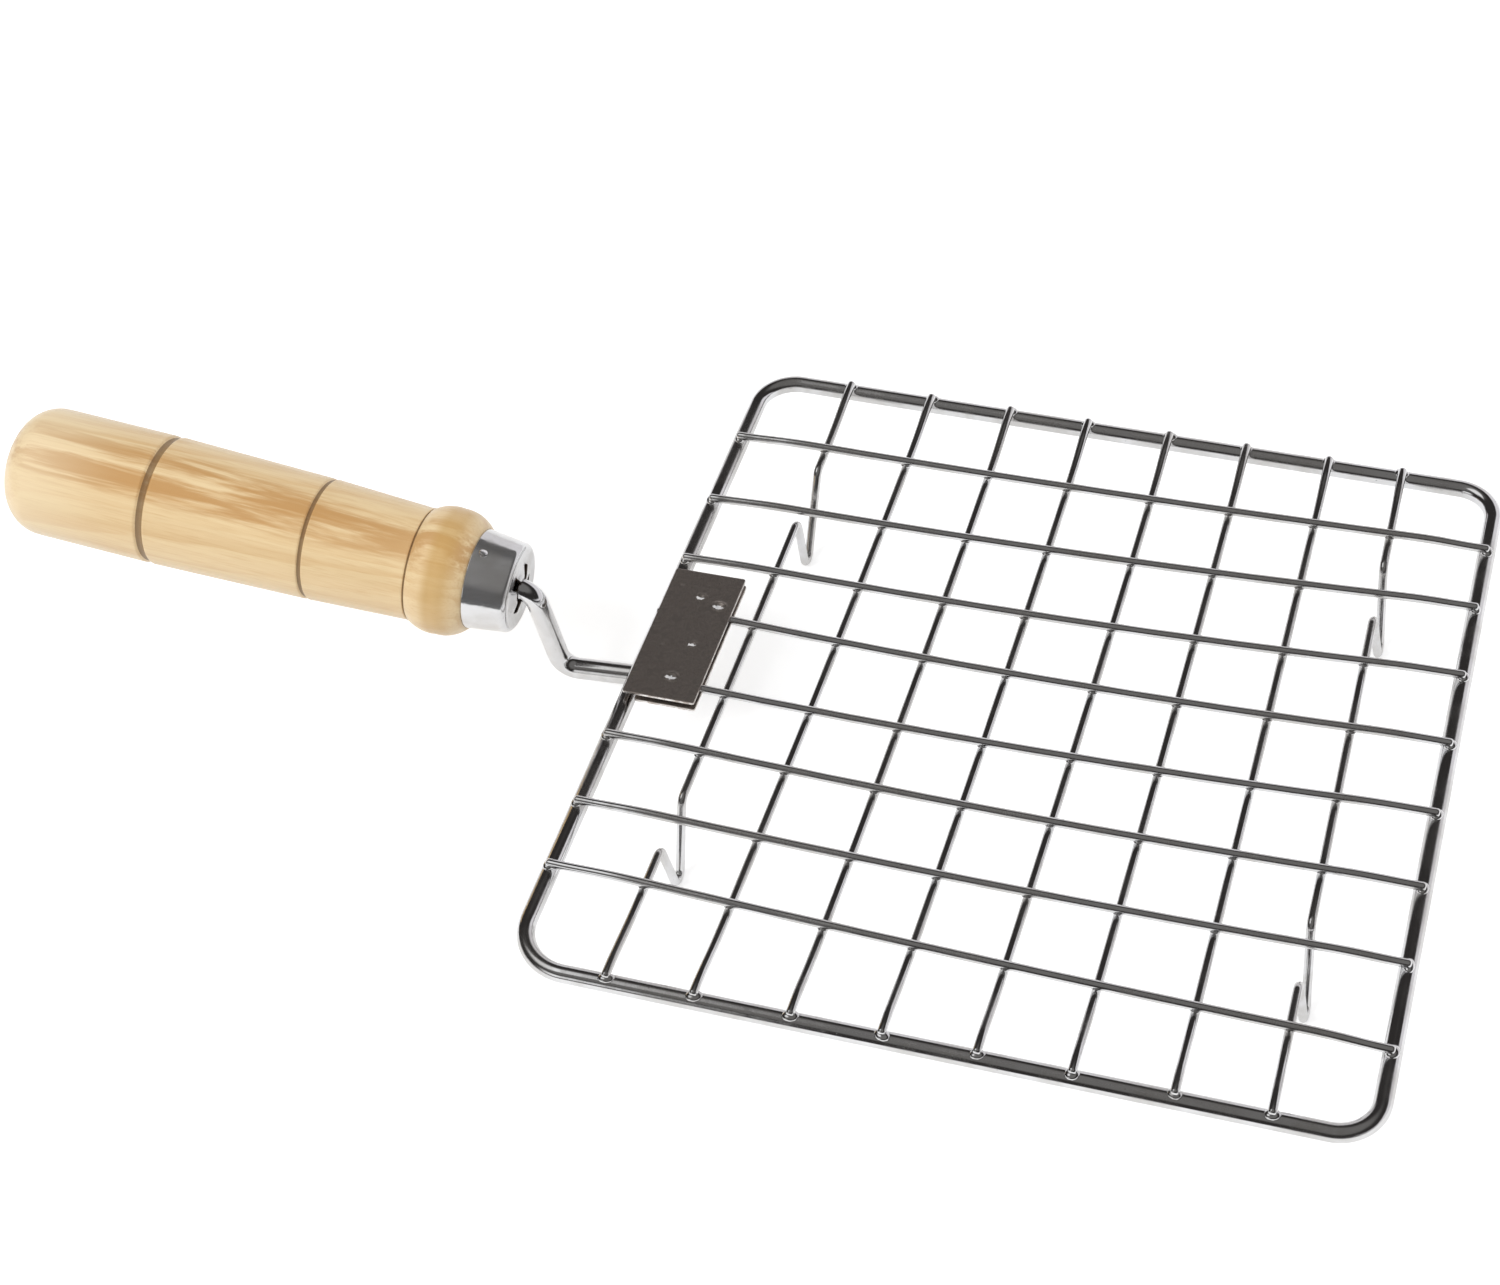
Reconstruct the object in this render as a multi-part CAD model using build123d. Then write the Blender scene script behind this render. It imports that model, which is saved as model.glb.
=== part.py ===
from build123d import *
import math
import os

# Papad roasting grill: a square mesh of welded wire on a bent ring, with two of the wires bent
# down into four feet, and a turned wooden handle on a rod. Everything is in millimetres.
# The origin lies on the surface that the feet stand on, under the middle of the ring.
# +X points away from the handle, +Y is the far side and +Z is up.

# Wire sizes
mesh_wire_d = 2.0
ring_wire_d = 4.0
rod_d = 5.0
weld_sink = 0.3  # how far two welded pieces melt into each other

# Mesh
wires_each_way = 8
mesh_pitch = 19.5
mesh_centre_x = 1.2
mesh_centre_y = 0.8
mesh_sag = 3.0  # the middle of the mesh hangs this far below its rim
sag_bend_radius = 150.0  # of the slight bend in the middle of each cell of a sagging wire
bend_share = 0.45  # of a straight run that a gentle bend at its end takes up
field_margin = 7.5  # from the outermost wire to where a wire starts to rise or fall to its seat
seat_lead = 2.0  # level stretch of each wire inside the ring, before it meets the ring
wire_end_past = 0.6  # wire ends reach this far past the middle of the ring wire

# Hand-set wires: sideways place, and lean from the middle of the mesh to its rim
cross_shift = [-0.65, -1.2, -2.0, -0.8, -1.85, -0.75, -0.9, -0.85]  # far to near
cross_lean = [0.1, 1.85, 1.6, 0.05, 1.05, -0.35, -0.5, -2.2]
down_shift = [-0.5, -0.2, 0.6, 0.3, 0.5, -0.1, 0.3, -1.2]  # left to right
down_lean = [0.0, 0.7, 0.3, 0.3, 0.4, 0.0, -0.4, -1.4]

# Ring, bent by hand, so that its corners are a little out of square
ring_gap_x = 21.0  # from the outermost wire to the middle of the ring wire
ring_gap_y = 22.3
ring_corner_radii = (9.0, 9.0, 9.0, 12.0)  # far left, far right, near right, near left
far_skew = 1.4
near_skew = 0.4
right_skew = 0.4

# Feet: each is a bend of a leg wire, under the second cross wire from the rim
foot_drop = 18.4  # from the wire seats down to the middle of the wire at the foot
foot_flat = 3.0
foot_bend_radius = 2.0
leg_bend_radius = 2.5
# Along the leg wire, from the cross wire above: where it leaves the mesh, stands and returns,
# and how far the foot stands off sideways, away from the handle
far_left_foot = (12.4, -1.2, -4.7, 0.1)
near_left_foot = (6.4, -2.8, -8.0, 0.3)
far_right_foot = (10.0, -0.4, -5.7, 1.6)
near_right_foot = (5.2, -5.8, -10.0, 1.3)

# Handle plates: two leaves of sheet steel, above and below the two wires that they hold
leaf_thickness = 0.8
leaf_length = 16.9
leaf_width = 38.8
leaf_middle_y = 2.0
leaf_past_ring = 0.2  # the upper leaf reaches this far past the middle of the ring wire
leaf_ring_gap = 0.3  # between the lower leaf and the ring

# Handle, along its own axis from the front rim of the ferrule
handle_y = -5.3
handle_tilt = 6.5  # degrees, up towards the butt
handle_reach = 26.9  # from the ring to the ferrule, level
handle_rise = 15.9  # from the wire seats up to the ferrule's middle
handle_length = 123.6

# Rod
rod_stub = 3.1  # straight out of the ferrule, to the corner of the first bend
rod_top_bend = 4.7
rod_low_bend = 4.4
rod_low_reach = 20.3  # from the ring back to the corner of the lower bend
rod_dip = 1.8  # that corner lies this far below where the rod passes under the ring
rod_rise_start = 1.6  # inside the ring, where the rod starts to rise to the lower leaf
rod_rise_end = 7.2
rod_rise_bend = 6.0
rod_end_inset = 1.0  # from the end of the rod to the edge of the leaves
rod_tang = 70.0  # inside the handle

# Ferrule: a tapered cup of thin sheet, domed and slit round the rod
ferrule_length = 10.0
ferrule_front_radius = 10.25
ferrule_back_radius = 11.5
ferrule_sheet = 0.6
ferrule_rim_bend = 1.4
rim_fullness = 0.05  # how much fuller the rim is than three quarters of the way out
dome_radius = 8.6  # of the round that the dome covers
dome_rise = 0.3
rod_hole_gap = 0.2
slit_width = 0.9
slit_reach = 5.3  # from the axis
slit_turns = (33.0, -48.0, -114.0, 140.0)  # degrees round the axis, from the top towards the far side

# Nail through the ferrule into the wood
nail_place = 7.6
nail_turn = -9.0  # degrees round the axis, from the top towards the near side
nail_d = 1.0
nail_head_d = 1.9
nail_head_height = 0.5
nail_length = 6.0
nail_head_sink = 0.1  # into the dented ferrule

# Wooden grip, turned: radii at places along the axis
tenon_start = 1.0
shoulder_step = 0.3  # the wood stands this far proud of the ferrule
bead_place = 16.7
bead_radius = 14.6
bead_front_slope = 0.35  # how much leaner the front of the bead is than a quarter of its rise
bead_back_swell = 0.05  # how much fuller its back is
bead_end = 22.9
neck_radius = 13.0
waist_place = 48.0
waist_radius = 14.1
belly_place = 86.9
belly_radius = 15.0
butt_radius = 15.0
butt_round = 8.5
neck_line_width = 0.6
neck_line_depth = 0.4
waist_groove_width = 1.3
waist_groove_depth = 0.7
belly_groove_width = 2.2
belly_groove_depth = 0.9

# What follows from the sizes above
plate_wires = (wires_each_way // 2, wires_each_way // 2 + 1)  # the middle two, held by the plates
mesh_wire_r = mesh_wire_d / 2
ring_wire_r = ring_wire_d / 2
rod_r = rod_d / 2
outer_place = (wires_each_way - 1) / 2 * mesh_pitch
field_edge = outer_place + field_margin
ring_half_x = outer_place + ring_gap_x
ring_half_y = outer_place + ring_gap_y
seat_z = foot_drop + mesh_wire_r
layer_shift = (mesh_wire_d - weld_sink) / 2
ring_z = seat_z - mesh_wire_r - ring_wire_r + weld_sink
foot_place = outer_place - mesh_pitch
leaf_base_z = seat_z + mesh_wire_r - weld_sink
leaf_under_z = seat_z - mesh_wire_r + weld_sink - leaf_thickness
leaf_left_x = -ring_half_x - leaf_past_ring
leaf_right_x = leaf_left_x + leaf_length
rod_ring_z = ring_z - ring_wire_r - rod_r + weld_sink
rod_end_z = leaf_under_z - rod_r + weld_sink
tilt = math.radians(handle_tilt)
handle_face = Vector(-ring_half_x - handle_reach, handle_y, seat_z + handle_rise)
handle_way = Vector(-math.cos(tilt), 0, math.sin(tilt))
handle_place = Plane(origin=handle_face, x_dir=(math.sin(tilt), 0, math.cos(tilt)), z_dir=handle_way)


def corner_turn(before, corner, after):
    """The angle in degrees by which a path turns at a corner."""
    return (corner - before).get_angle(after - corner)


def swept_wire(path, diameter):
    """Round wire along a path, with the seam of its surface at its side."""
    heading = path % 0
    section = Plane(origin=path @ 0, x_dir=heading.cross(Vector(0, 0, 1)), z_dir=heading)
    return sweep(section * Circle(diameter / 2), path=path)


def bent_wire(points, bends, diameter):
    """Round wire along straight runs and tangent arcs.

    bends gives the radius of each sharp bend by the number of its point. Every other
    corner is a slight one, and gets a gentle arc that its two runs have room for.
    """
    points = [Vector(*point) for point in points]
    radii = []
    for number in range(1, len(points) - 1):
        before, corner, after = points[number - 1:number + 2]
        run = min((corner - before).length, (after - corner).length)
        half_turn = math.radians(corner_turn(before, corner, after) / 2)
        gentle = min(sag_bend_radius, bend_share * run / math.tan(half_turn))
        radii.append(bends.get(number, gentle))
    return swept_wire(FilletPolyline(*points, radius=radii), diameter)


def mesh_drop(x, y):
    """How far the mesh hangs below its rim, at a place from its middle."""
    return mesh_sag * (1 - (x / ring_half_x) ** 2) * (1 - (y / ring_half_y) ** 2)


def field_z(along, across, layer, is_cross):
    """Height of the middle of a mesh wire. layer is 1 for the cross wires and -1 for the others."""
    drop = mesh_drop(along, across) if is_cross else mesh_drop(across, along)
    return seat_z - drop + layer * layer_shift


def sag_points(across, layer, is_cross, low=-math.inf, high=math.inf):
    """Points of a sagging wire in the middle of each cell between low and high."""
    steps = [(number - (wires_each_way - 2) / 2) * mesh_pitch for number in range(wires_each_way - 1)]
    return [(along, field_z(along, across, layer, is_cross)) for along in steps if low < along < high]


def ring_far_y(x):
    return ring_half_y - far_skew * x / ring_half_x


def ring_near_y(x):
    return -ring_half_y + near_skew * x / ring_half_x


def ring_right_x(y):
    return ring_half_x - right_skew * y / ring_half_y


def rim_points(ring_place, side, across, layer, is_cross):
    """End, seat and field edge of a wire on one side. side is 1 or -1 and the end comes first."""
    seat = ring_place - side * (ring_wire_r + seat_lead)
    edge = side * field_edge
    return [
        (ring_place + side * wire_end_past, seat_z),
        (seat, seat_z),
        (edge, field_z(edge, across, layer, is_cross)),
    ]


def cross_wire(number):
    """One upper wire of the mesh, along X, numbered from the far side."""
    across = outer_place - (number - 1) * mesh_pitch + cross_shift[number - 1]
    y = mesh_centre_y + across
    left = rim_points(-ring_half_x - mesh_centre_x, -1, across, 1, True)
    right = rim_points(ring_right_x(y) - mesh_centre_x, 1, across, 1, True)
    route = left + sag_points(across, 1, True) + right[::-1]
    wire = bent_wire([(along, 0, z) for along, z in route], {}, mesh_wire_d)
    lean = math.degrees(math.atan2(cross_lean[number - 1], ring_half_x))
    return Location((mesh_centre_x, y, 0), (0, 0, lean)) * wire


def down_place(number):
    """Distance of a lower wire of the mesh from the middle, numbered from the handle side."""
    return (number - 1) * mesh_pitch - outer_place + down_shift[number - 1]


def down_ends(number):
    """Far and near rim points of a lower wire of the mesh."""
    across = down_place(number)
    lean = down_lean[number - 1]
    far = rim_points(ring_far_y(mesh_centre_x + across + lean) - mesh_centre_y, 1, across, -1, False)
    near = rim_points(ring_near_y(mesh_centre_x + across - lean) - mesh_centre_y, -1, across, -1, False)
    return far, near


def place_down_wire(number, wire):
    """Moves a wire from the YZ plane to its place in the mesh."""
    lean = math.degrees(math.atan2(down_lean[number - 1], ring_half_y))
    return Location((mesh_centre_x + down_place(number), mesh_centre_y, 0), (0, 0, -lean)) * wire


def down_wire(number):
    """One lower wire of the mesh, along Y."""
    far, near = down_ends(number)
    route = far + sag_points(down_place(number), -1, False)[::-1] + near[::-1]
    return place_down_wire(number, bent_wire([(0, along, z) for along, z in route], {}, mesh_wire_d))


def saddled(wire, lower_wires):
    """A wire with a shallow saddle over each lower wire that it is welded to."""
    for lower in lower_wires:
        wire -= lower
    return wire


def foot_points(place, shape, across):
    """The corners of one foot, from the far side to the near one."""
    leaves, stands, returns = [place + step for step in shape[:3]]
    sideways = shape[3]
    foot_z = mesh_wire_r
    return [
        (0, leaves, field_z(leaves, across, -1, False)),
        (sideways, stands + foot_flat / 2, foot_z),
        (sideways, stands - foot_flat / 2, foot_z),
        (0, returns, field_z(returns, across, -1, False)),
    ]


def leg_wire(number, far_foot, near_foot):
    """The outermost lower wire of a side, bent down into two feet."""
    across = down_place(number)
    far, near = down_ends(number)
    far_points = foot_points(foot_place, far_foot, across)
    near_points = foot_points(-foot_place, near_foot, across)
    low = near_points[0][1] + mesh_pitch / 2
    high = far_points[-1][1] - mesh_pitch / 2
    start = [(0, along, z) for along, z in far]
    between = [(0, along, z) for along, z in sag_points(across, -1, False, low, high)[::-1]]
    end = [(0, along, z) for along, z in near[::-1]]
    foot_bends = [leg_bend_radius, foot_bend_radius, foot_bend_radius, leg_bend_radius]
    bends = {}
    for first in (len(start), len(start + far_points + between)):
        bends.update({first + step: radius for step, radius in enumerate(foot_bends)})
    route = start + far_points + between + near_points + end
    return place_down_wire(number, bent_wire(route, bends, mesh_wire_d))


def ring():
    """The closed ring of thick wire under the ends of the mesh."""
    corners = [
        (-ring_half_x, ring_half_y + far_skew),
        (ring_half_x - right_skew, ring_half_y - far_skew),
        (ring_half_x + right_skew, -ring_half_y + near_skew),
        (-ring_half_x, -ring_half_y - near_skew),
    ]
    outline = FilletPolyline(*[(x, y, ring_z) for x, y in corners], radius=ring_corner_radii, close=True)
    return swept_wire(outline, ring_wire_d)


def leaf(left_x, base_z, wires):
    """One sheet of the handle plate, grooved where it is pressed onto the wires that it holds."""
    sheet = Pos((left_x + leaf_right_x) / 2, leaf_middle_y, base_z + leaf_thickness / 2) * Box(
        leaf_right_x - left_x, leaf_width, leaf_thickness
    )
    return sheet - wires


def rod():
    """The bent rod, from inside the grip down under the ring to the lower leaf."""
    start = handle_face + handle_way * rod_tang
    corner = handle_face - handle_way * rod_stub
    ring_x = -ring_half_x
    route = [
        (start.X, handle_y, start.Z),
        (corner.X, handle_y, corner.Z),
        (ring_x - rod_low_reach, handle_y, rod_ring_z - rod_dip),
        (ring_x + rod_rise_start, handle_y, rod_ring_z),
        (ring_x + rod_rise_end, handle_y, rod_end_z),
        (leaf_right_x - rod_end_inset, handle_y, rod_end_z),
    ]
    bends = {1: rod_top_bend, 2: rod_low_bend, 3: rod_rise_bend, 4: rod_rise_bend}
    return bent_wire(route, bends, rod_d)


def turned(edges):
    """A turned solid from the closed outline of half its section, placed on the handle's axis."""
    return handle_place.location * revolve(make_face(edges), axis=Axis.Z)


def at(radius, place):
    return Vector(radius, 0, place)


def ferrule_outer(place):
    """Outer radius of the ferrule at a place along the axis."""
    taper = (ferrule_back_radius - ferrule_front_radius) / ferrule_length
    return ferrule_front_radius + taper * place


def ferrule_cup():
    """The ferrule with its round hole, before the slits."""
    hole = rod_r + rod_hole_gap
    rim_start = at(dome_radius, 0)
    rim_end = at(ferrule_outer(ferrule_rim_bend), ferrule_rim_bend)
    outer_back = at(ferrule_back_radius, ferrule_length)
    inner_back = at(ferrule_back_radius - ferrule_sheet, ferrule_length)
    rim_middle = at((rim_start.X + 3 * rim_end.X) / 4 + rim_fullness, ferrule_rim_bend / 4)
    inner_rim = at(dome_radius, ferrule_sheet)
    inner_front = ferrule_sheet + ferrule_rim_bend
    inner_side = at(ferrule_outer(inner_front) - ferrule_sheet, inner_front)
    inner_middle = at((inner_rim.X + 3 * inner_side.X) / 4, ferrule_sheet + ferrule_rim_bend / 4)
    dome_middle = (hole + dome_radius) / 2
    return turned([
        ThreePointArc(at(hole, -dome_rise), at(dome_middle, -dome_rise * 0.7), rim_start),
        ThreePointArc(rim_start, rim_middle, rim_end),
        Line(rim_end, outer_back),
        Line(outer_back, inner_back),
        Line(inner_back, inner_side),
        ThreePointArc(inner_side, inner_middle, inner_rim),
        ThreePointArc(inner_rim, at(dome_middle, ferrule_sheet - dome_rise * 0.7),
                      at(hole, ferrule_sheet - dome_rise)),
        Line(at(hole, ferrule_sheet - dome_rise), at(hole, -dome_rise)),
    ])


def ferrule(nail_cut):
    """The ferrule, slit round the rod, with its nail hole."""
    cup = ferrule_cup()
    depth = dome_rise + ferrule_sheet
    for turn in slit_turns:
        slit = Pos(slit_reach / 2, 0, -depth / 2 + ferrule_sheet) * Box(slit_reach, slit_width, depth * 2)
        cup -= handle_place.location * (Rot(0, 0, turn) * slit)
    return cup - nail_cut


def groove(place, radius_before, radius_after, width, depth):
    """A turned groove: an arc across the outline of the grip."""
    start = at(radius_before, place - width / 2)
    end = at(radius_after, place + width / 2)
    return ThreePointArc(start, at((radius_before + radius_after) / 2 - depth, place), end)


def grip(nail_cut):
    """The turned wooden handle, with a tenon for the ferrule and a bore for the rod."""
    tenon_front = at(ferrule_outer(ferrule_rim_bend * 2) - ferrule_sheet - ferrule_rim_bend, tenon_start)
    tenon_side = at(ferrule_outer(ferrule_rim_bend * 2) - ferrule_sheet, ferrule_rim_bend * 2)
    tenon_back = at(ferrule_back_radius - ferrule_sheet, ferrule_length)
    shoulder = at(ferrule_back_radius + shoulder_step, ferrule_length)
    bead = at(bead_radius, bead_place)
    neck = groove(bead_end + neck_line_width / 2, neck_radius + neck_line_depth / 2, neck_radius,
                  neck_line_width, neck_line_depth)
    waist = groove(waist_place, waist_radius, waist_radius, waist_groove_width, waist_groove_depth)
    belly = groove(belly_place, belly_radius, belly_radius, belly_groove_width, belly_groove_depth)
    butt_side = at(butt_radius, handle_length - butt_round)
    butt_end = at(butt_radius - butt_round, handle_length)
    butt_middle = at(butt_radius - butt_round + butt_round * math.sqrt(0.5),
                     handle_length - butt_round + butt_round * math.sqrt(0.5))
    front_round = at((shoulder.X + 3 * bead_radius) / 4 - bead_front_slope,
                     (2 * ferrule_length + bead_place) / 3)
    back_round = at((3 * bead_radius + neck_radius) / 4 + bead_back_swell,
                    (bead_place + 2 * bead_end) / 3)
    return turned([
        Line(at(rod_r, tenon_start), tenon_front),
        Line(tenon_front, tenon_side),
        Line(tenon_side, tenon_back),
        Line(tenon_back, shoulder),
        ThreePointArc(shoulder, front_round, bead),
        ThreePointArc(bead, back_round, neck @ 0),
        neck,
        Line(neck @ 1, waist @ 0),
        waist,
        Line(waist @ 1, belly @ 0),
        belly,
        Line(belly @ 1, butt_side),
        ThreePointArc(butt_side, butt_middle, butt_end),
        Line(butt_end, at(0, handle_length)),
        Line(at(0, handle_length), at(0, rod_tang)),
        Line(at(0, rod_tang), at(rod_r, rod_tang)),
        Line(at(rod_r, rod_tang), at(rod_r, tenon_start)),
    ]) - nail_cut


def nail_parts():
    """The nail: a shank through the ferrule and a low round head on it."""
    surface = ferrule_outer(nail_place)
    outward = handle_place.location * Rot(0, 0, nail_turn) * Pos(surface, 0, nail_place) * Rot(0, 90, 0)
    shank = outward * Cylinder(nail_d / 2, nail_length, align=(Align.CENTER, Align.CENTER, Align.MAX))
    head = outward * Pos(0, 0, -nail_head_sink) * Cylinder(
        nail_head_d / 2, nail_head_height + nail_head_sink, align=(Align.CENTER, Align.CENTER, Align.MIN)
    )
    return shank, head


os.makedirs("parts", exist_ok=True)

# Where two wires are welded, the upper one has a shallow saddle that fits the lower one
frame_ring = ring()
down_wires = {f"down_wire_{number}": down_wire(number) - frame_ring for number in range(2, wires_each_way)}
down_wires["leg_wire_left"] = leg_wire(1, far_left_foot, near_left_foot) - frame_ring
down_wires["leg_wire_right"] = leg_wire(wires_each_way, far_right_foot, near_right_foot) - frame_ring
lower_wires = [frame_ring, *down_wires.values()]
cross_wires = {f"cross_wire_{number}": saddled(cross_wire(number), lower_wires)
               for number in range(1, wires_each_way + 1)}
held_wires = [cross_wires[f"cross_wire_{number}"] for number in plate_wires]
handle_rod = rod() - frame_ring
nail_shank, nail_head = nail_parts()

pieces = {
    "frame_ring": frame_ring,
    **cross_wires,
    **down_wires,
    "handle_plate_top": leaf(leaf_left_x, leaf_base_z, held_wires),
    "handle_plate_bottom": leaf(-ring_half_x + ring_wire_r + leaf_ring_gap, leaf_under_z,
                                [*held_wires, handle_rod]),
    "handle_rod": handle_rod,
    "ferrule": ferrule(nail_shank + nail_head),
    "ferrule_nail": nail_shank + nail_head,
    "handle_grip": grip(nail_shank),
}

for name, piece in pieces.items():
    export_step(piece, f"parts/{name}.step")
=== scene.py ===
import math
import random

import bmesh
import bpy
from mathutils import Matrix, Quaternion, Vector


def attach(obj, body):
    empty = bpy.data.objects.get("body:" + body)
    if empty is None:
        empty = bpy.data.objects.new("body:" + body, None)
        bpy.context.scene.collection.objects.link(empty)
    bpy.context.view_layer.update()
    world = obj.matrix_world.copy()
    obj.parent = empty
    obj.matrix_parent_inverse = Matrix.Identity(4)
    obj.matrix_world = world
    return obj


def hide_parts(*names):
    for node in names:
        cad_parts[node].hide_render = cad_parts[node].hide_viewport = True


bl_info = {
    "name": "Papad Grill",
    "version": (1, 0, 0),
    "blender": (4, 5, 0),
    "location": "3D View > Sidebar > Papad Grill",
    "description": "Builds the looks of a wire papad grill around its packed frame",
    "category": "Object",
}

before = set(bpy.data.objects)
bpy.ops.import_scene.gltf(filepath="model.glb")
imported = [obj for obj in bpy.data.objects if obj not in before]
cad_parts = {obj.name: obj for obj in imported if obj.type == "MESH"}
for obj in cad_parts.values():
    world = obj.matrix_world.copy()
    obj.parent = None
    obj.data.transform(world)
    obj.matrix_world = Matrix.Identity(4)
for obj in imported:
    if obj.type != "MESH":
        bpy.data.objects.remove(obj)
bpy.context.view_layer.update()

MM = 0.001
WIRES = 8  # each way, numbered from the far side and from the handle side
DOWN_WIRES = ["leg_wire_left"] + [f"down_wire_{n}" for n in range(2, WIRES)] + ["leg_wire_right"]
CROSS_WIRES = [f"cross_wire_{n}" for n in range(1, WIRES + 1)]


def number_property(name, description, default, **kind):
    """A number that the user can change."""
    return bpy.props.FloatProperty(name=name, description=description, default=default, **kind)


def length_property(name, description, default):
    """A length in metres."""
    return number_property(name, description, default, unit="LENGTH")


def vector_property(name, description, default, kind="COLOR"):
    """Three numbers, such as a colour or a place."""
    return bpy.props.FloatVectorProperty(
        name=name, description=description, default=default, size=3, subtype=kind)


class GrillSizes(bpy.types.PropertyGroup):
    """Sizes of the grill's wires and handle."""

    wire_diameter: length_property("Mesh wire", "Diameter of the mesh wire", 0.002)
    ring_diameter: length_property("Ring wire", "Diameter of the ring's wire", 0.004)
    rod_diameter: length_property("Rod", "Diameter of the rod", 0.005)
    leaf_thickness: length_property("Plate", "Thickness of a handle plate", 0.0008)
    ferrule_sheet: length_property("Ferrule sheet", "Thickness of the ferrule's sheet", 0.0006)


class GrillColours(bpy.types.PropertyGroup):
    """Colours of the grill's finishes."""

    plating: vector_property("Plating", "Bright plated wire", (0.74, 0.74, 0.75))
    dull_plating: vector_property("Dull plating", "Clouded places of the plating",
                                  (0.60, 0.59, 0.58))
    plate_steel: vector_property("Plate", "Dull sheet of the handle plates", (0.50, 0.44, 0.40))
    wood_pale: vector_property("Pale wood", "Main colour of the grip", (0.86, 0.66, 0.38))
    wood_tan: vector_property("Late wood", "Growth rings of the grip", (0.72, 0.47, 0.22))
    wood_streak: vector_property("Wood streaks", "Brown streaks along the grip",
                                 (0.56, 0.30, 0.10))
    # burnt wood in the turned grooves, and painted shade on the tenon's face behind the ferrule's
    # slits
    burnt_and_shaded_wood: vector_property("Grooves", "Darkened wood in the turned grooves",
                                (0.22, 0.13, 0.06))


class GrillStage(bpy.types.PropertyGroup):
    """Camera, floor and light."""

    camera_place: vector_property("Camera", "Where the camera stands",
                                  (0.10342, -0.39040, 0.48671), "TRANSLATION")
    camera_aim: vector_property("Aim", "Point in the middle of the picture",
                                (-0.06620, 0.00407, 0.01940), "TRANSLATION")
    camera_roll: number_property("Roll", "Turn of the camera about its view",
                                 math.radians(-7.75), subtype="ANGLE")
    lens: number_property("Lens", "Focal length in millimetres on a 36 mm sensor", 67.2)
    floor_size: length_property("Floor", "Side of the floor", 12.0)
    table_glow: number_property("Table", "White of the table in the camera and in bright metal",
                                0.5)
    room_light: number_property("Room", "Even light from all round", 0.6)


# Everything below is in millimetres in the row frame, and scaled when a piece is finished
PITCH = 19.5
MESH_MIDDLE = (1.2, 0.8)
OUTER_WIRE = 68.25  # of the outermost wires, from the middle of the mesh
FIELD_EDGE = 75.75  # where a wire starts to rise or fall to its seat on the ring
SEAT_Z = 19.4  # middle of a wire at the ring
SEAT_LEAD = 4.0  # level stretch of a wire, inwards from the middle of the ring wire
END_PAST = 0.6  # wire ends reach this far past the middle of the ring wire
SAG = 3.0
LAYER = 0.85  # the cross wires lie this far above the surface of the mesh, the others below

# Wires one by one: sideways place, and lean from the middle of the mesh to its rim
CROSS_SHIFT = (-0.65, -1.2, -2.0, -0.8, -1.85, -0.75, -0.9, -0.85)
CROSS_LEAN = (0.1, 1.85, 1.6, 0.05, 1.05, -0.35, -0.5, -2.2)
DOWN_SHIFT = (-0.5, -0.2, 0.6, 0.3, 0.5, -0.1, 0.3, -1.2)
DOWN_LEAN = (0.0, 0.7, 0.3, 0.3, 0.4, 0.0, -0.4, -1.4)

# Ring, a little out of square, with its corners from the far left one clockwise
RING_Z = 16.7
RING_HALF = (89.25, 90.55)
FAR_SKEW, NEAR_SKEW, RIGHT_SKEW = 1.4, 0.4, 0.4
RING_CORNERS = (
    (-RING_HALF[0], RING_HALF[1] + FAR_SKEW),
    (RING_HALF[0] - RIGHT_SKEW, RING_HALF[1] - FAR_SKEW),
    (RING_HALF[0] + RIGHT_SKEW, -RING_HALF[1] + NEAR_SKEW),
    (-RING_HALF[0], -RING_HALF[1] - NEAR_SKEW),
)
RING_RADII = (9, 9, 9, 12)

# Feet of the leg wires, by the wire's number: where it leaves the mesh, stands and returns, from
# FOOT_PLACE, and how far it leans out sideways
FEET = {
    0: ((12.4, -1.2, -4.7, 0.1), (6.4, -2.8, -8.0, 0.3)),
    7: ((10.0, -0.4, -5.7, 1.6), (5.2, -5.8, -10.0, 1.3)),
}
FOOT_PLACE = 48.75
FOOT_Z = 1.0
FOOT_FLAT = 3.0
FOOT_BENDS = (2.5, 2.0, 2.0, 2.5)

# Bent and cut wire
GENTLE_BEND = 150.0  # radius of a slight bend whose runs have room for it
BEND_SHARE = 0.45  # of a straight run that a slight bend at its end takes up
STRAIGHT = 1e-4  # half turn in radians below which a corner is none
END_TURNS = (88, 72, 54, 36, 18)  # degrees round the rounded end of a wire, from its tip
END_LENGTH = 0.75  # of the wire's radius
END_FULLNESS = 0.6
MERGE = 1e-4  # points nearer to each other than this are one

# Handle, with its own frame: along the axis from the ferrule's face, side and up
HANDLE_FACE = (-116.15, -5.3, 35.3)
HANDLE_TILT = math.radians(6.5)
HANDLE_WAY = Vector((-math.cos(HANDLE_TILT), 0, math.sin(HANDLE_TILT)))
HANDLE_UP = Vector((math.sin(HANDLE_TILT), 0, math.cos(HANDLE_TILT)))
HANDLE_TURN = Matrix((HANDLE_WAY, (0, -1, 0), HANDLE_UP)).transposed()
HANDLE_PLACE = Matrix.Translation(HANDLE_FACE) @ HANDLE_TURN.to_4x4()


def mesh_drop(x, y):
    """How far the mesh hangs below its rim, at a place from its middle."""
    return SAG * (1 - (x / RING_HALF[0]) ** 2) * (1 - (y / RING_HALF[1]) ** 2)


def cross_across(number):
    """Place of an upper wire, from the middle of the mesh."""
    return OUTER_WIRE - number * PITCH + CROSS_SHIFT[number]


def down_across(number):
    """Place of a lower wire, from the middle of the mesh."""
    return number * PITCH - OUTER_WIRE + DOWN_SHIFT[number]


def field_z(along, across, is_cross):
    """Height of a mesh wire, at a place along it."""
    if is_cross:
        return SEAT_Z - mesh_drop(along, across) + LAYER
    return SEAT_Z - mesh_drop(across, along) - LAYER


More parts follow.
